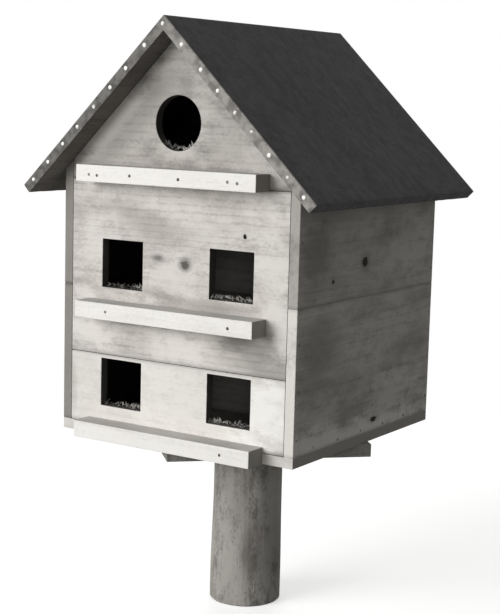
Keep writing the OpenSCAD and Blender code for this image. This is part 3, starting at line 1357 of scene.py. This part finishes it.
@dataclass
class Nailing:
    """All the nails, placed from the pieces that they hold. A head is its width and its rise.

    The spots of the roof's and the ledges' nails are at millimetres from the middle of the house.
    """

    roof_spots: tuple[float, ...] = (0, 26, 52, 75, 99, 122, 145, 168, 190)
    roof_depth: float = 6.2 * MM
    roof_head: tuple[float, float] = (5.0 * MM, 2.0 * MM)
    ledge_rows: dict[str, tuple[float, ...]] = field(
        default_factory=lambda: {
            "lower": (87,), "middle": (-80, 94), "top": (-107, -95, -47, 22, 89, 102),
        }
    )
    ledge_drift: Band = (-2 * MM, 0.5 * MM)
    ledge_head: tuple[float, float] = (3.7 * MM, 1.0 * MM)
    wall_spacing: float = 56 * MM
    wall_inset: float = 6.4 * MM
    wall_drift: float = 3 * MM
    wall_head: tuple[float, float] = (3.4 * MM, 1.0 * MM)
    foot_start: float = 44 * MM
    foot_height: float = 4.5 * MM
    drift: float = 0.8 * MM
    place_seeds: tuple[int, int, int] = (5, 6, 7)
    size_seeds: tuple[int, int, int] = (1, 2, 3)

    def roof(self, draw: random.Random) -> Spots:
        """The row down each gable edge of the felt, from one nail at the ridge.

        Args:
            draw: Draws how far each nail is off.

        Returns:
            Places and facings.
        """
        low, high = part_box("roof_felt")
        drop = self.roof_depth / math.cos(ROOF_PITCH)
        spots = []
        row = sorted({side * spot for spot in self.roof_spots for side in (-1, 1)})
        for end in (-1, 1):
            y = high[1] if end > 0 else low[1]
            for spot in row:
                x = spot * MM + draw.uniform(-self.drift, self.drift)
                z = high[2] - drop - abs(x) * math.tan(ROOF_PITCH) + draw.uniform(-self.drift, self.drift)
                spots.append((Vector((x, y, z)), Vector((0, end, 0))))
        return spots

    def ledges(self, draw: random.Random) -> Spots:
        """The nails through the fronts of the ledges.

        Args:
            draw: Draws how far each nail is off.

        Returns:
            Places and facings.
        """
        spots = []
        for end, way in (("front", -1), ("back", 1)):
            for row, places in self.ledge_rows.items():
                low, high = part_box(f"{end}_{row}_ledge")
                y = low[1] if way < 0 else high[1]
                for x in places:
                    z = (low[2] + high[2]) / 2 + draw.uniform(*self.ledge_drift)
                    spots.append((Vector((-way * x * MM, y, z)), Vector((0, way, 0))))
        return spots

    def walls(self, draw: random.Random) -> Spots:
        """The nails through the side walls into the ends of the front and back boards, and into the floor.

        Args:
            draw: Draws how far each nail is off.

        Returns:
            Places and facings.
        """
        spots = []
        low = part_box("right_side_lower_board")[0]
        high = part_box("right_side_upper_board")[1]
        eave = high[2] - (high[0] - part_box("upper_floor")[1][0])
        for side in (-1, 1):
            x, facing = side * high[0], Vector((side, 0, 0))
            for end in (-1, 1):
                z = low[2] + self.wall_spacing / 3
                while z < eave - self.wall_inset:
                    y = end * (high[1] - self.wall_inset) + draw.uniform(-self.drift, self.drift)
                    level = z + draw.uniform(-self.wall_drift, self.wall_drift)
                    spots.append((Vector((x, y, level)), facing))
                    z += self.wall_spacing
            y = low[1] + self.foot_start
            while y < high[1] - self.wall_spacing / 2:
                z = low[2] + self.foot_height + draw.uniform(-self.drift, self.drift)
                spots.append((Vector((x, y, z)), facing))
                y += self.wall_spacing
        return spots

    def build(self) -> None:
        """Makes the three sets of nails."""
        tree = BitTree(Bit.NAIL)
        bright = BRIGHT_NAIL.material("bright_nail")
        dark = DARK_NAIL.material("dark_nail")
        sets = (
            ("roof_nails", self.roof, bright, BRIGHT_NAIL.slot, self.roof_head),
            ("ledge_nails", self.ledges, dark, DARK_NAIL.slot, self.ledge_head),
            ("wall_nails", self.walls, dark, DARK_NAIL.slot, self.wall_head),
        )
        for (name, row, material, slot, head), place, size in zip(sets, self.place_seeds, self.size_seeds):
            BitSet(name, row(random.Random(place)), material, slot, head, size).build(tree)


@dataclass(frozen=True)
class Lamp:
    """A soft round lamp: degrees round from the front to the right, degrees above its target, and watts."""

    name: str
    azimuth: float
    elevation: float
    power: float
    size: float = 3.4
    distance: float = 4.6

    def hang(self, target: Vector) -> None:
        """Hangs the lamp so that it looks at its target.

        Args:
            target: The point that it looks at.
        """
        turn, rise = math.radians(self.azimuth), math.radians(self.elevation)
        away = Vector((math.sin(turn) * math.cos(rise), -math.cos(turn) * math.cos(rise), math.sin(rise)))
        data = bpy.data.lights.new(self.name, "AREA")
        data.shape = "DISK"
        data.size = self.size
        data.energy = self.power
        lamp = bpy.data.objects.new(self.name, data)
        lamp.location = target + away * self.distance
        lamp.rotation_euler = (-away).to_track_quat("-Z", "Y").to_euler()
        bpy.context.scene.collection.objects.link(lamp)


@dataclass
class Studio:
    """A pale floor, soft light from the front left, and the photograph's viewpoint."""

    viewpoint: Vector = field(default_factory=lambda: Vector((0.9811, -1.5195, 0.6375)))
    azimuth: float = 32.95
    elevation: float = -8.17
    roll: float = 1.54
    focal_pixels: float = 1447.7
    sensor_h: float = 24.0
    floor_half: float = 6.0
    floor_fade: Band = (0.55, 1.5)
    floor_colour: Colour = (0.82, 0.82, 0.81)
    floor_bounce: Colour = (0.20, 0.20, 0.195)
    floor_glow: float = 0.53
    ambient: float = 0.24
    white: Colour = (1.0, 1.0, 1.0)
    lamps: tuple[Lamp, ...] = (
        Lamp("key_lamp", -29.0, 15.0, 164.0), Lamp("front_lamp", -8.0, 8.0, 58.0),
        Lamp("back_lamp", -150.0, 14.0, 110.0),
    )
    target: Vector = field(default_factory=lambda: Vector((0.0, 0.0, 0.5)))

    def camera(self) -> None:
        """Sets up the camera at the photograph's viewpoint."""
        azimuth, elevation, roll = (math.radians(a) for a in (self.azimuth, self.elevation, self.roll))
        upright = Matrix.Rotation(azimuth, 4, "Z") @ Matrix.Rotation(FULL_TURN / 4 + elevation, 4, "X")
        data = bpy.data.cameras.new("photo_camera")
        data.sensor_fit = "VERTICAL"
        data.sensor_height = self.sensor_h
        data.lens = self.focal_pixels / PHOTO_SIZE[1] * self.sensor_h
        camera = bpy.data.objects.new("photo_camera", data)
        camera.matrix_world = Matrix.Translation(self.viewpoint) @ upright @ Matrix.Rotation(roll, 4, "Z")
        bpy.context.scene.collection.objects.link(camera)
        bpy.context.scene.camera = camera

    @staticmethod
    def seen(graph: NodeGraph) -> Sock:
        """Finds the rays that show the background: straight, mirrored or through glass.

        Args:
            graph: The graph that asks.

        Returns:
            1 for those rays, else 0.
        """
        names = ("Is Camera Ray", "Is Glossy Ray", "Is Transmission Ray")
        straight, mirrored, through = (graph.add("ShaderNodeLightPath", output=name) for name in names)
        return straight.most(mirrored).most(through)

    def backdrop(self, seen: Sock) -> Sock:
        """Strength of the background: white where it is seen, and a dim even light elsewhere."""
        return seen * (1.0 - self.ambient) + self.ambient

    def world(self) -> None:
        """Gives a white background and a dim even light."""
        world = bpy.data.worlds.new("studio")
        bpy.context.scene.world = world
        world.use_nodes = True
        graph = NodeGraph(world.node_tree)
        inputs = {"Color": self.white, "Strength": self.backdrop(self.seen(graph))}
        back = graph.add("ShaderNodeBackground", inputs=inputs)
        graph.add("ShaderNodeOutputWorld", inputs={"Surface": back})

    def floor(self) -> None:
        """Lays a pale floor that keeps the shadow and fades into the background."""
        half = self.floor_half
        mesh = bpy.data.meshes.new("studio_floor")
        corners = [(-half, -half, 0), (half, -half, 0), (half, half, 0), (-half, half, 0)]
        mesh.from_pydata(corners, [], [(0, 1, 2, 3)])
        material, graph = new_material("studio_floor")
        x, y, _ = graph.place()
        seen = self.seen(graph)
        colour = graph.mix(seen, self.floor_bounce, self.floor_colour)
        matt = graph.add("ShaderNodeBsdfDiffuse", inputs={"Color": colour})
        glow = graph.add("ShaderNodeEmission", inputs={"Strength": seen * self.floor_glow})
        near = graph.add("ShaderNodeAddShader", inputs={0: matt, 1: glow})
        far = graph.add("ShaderNodeEmission", inputs={"Strength": self.backdrop(seen)})
        fade = graph.step((x * x + y * y) ** 0.5, *self.floor_fade)
        both = graph.add("ShaderNodeMixShader", inputs={0: fade, 1: near, 2: far})
        graph.add("ShaderNodeOutputMaterial", inputs={"Surface": both})
        mesh_object("studio_floor", mesh, material)

    def build(self) -> None:
        """Sets up the whole studio."""
        bpy.context.scene.view_settings.view_transform = "Standard"
        self.camera()
        for lamp in self.lamps:
            lamp.hang(self.target)
        self.world()
        self.floor()


def main() -> None:
    """Builds the studio, the boards, the felt, the pole, the nails and the splinters, and logs each piece's
    count of faces.
    """
    logging.basicConfig(level=logging.INFO, format="%(name)s %(message)s")
    Studio().build()
    House().build()
    FeltSheet().build()
    RoundPole().build()
    Nailing().build()
    Sills().build()


if __name__ == "__main__":
    main()
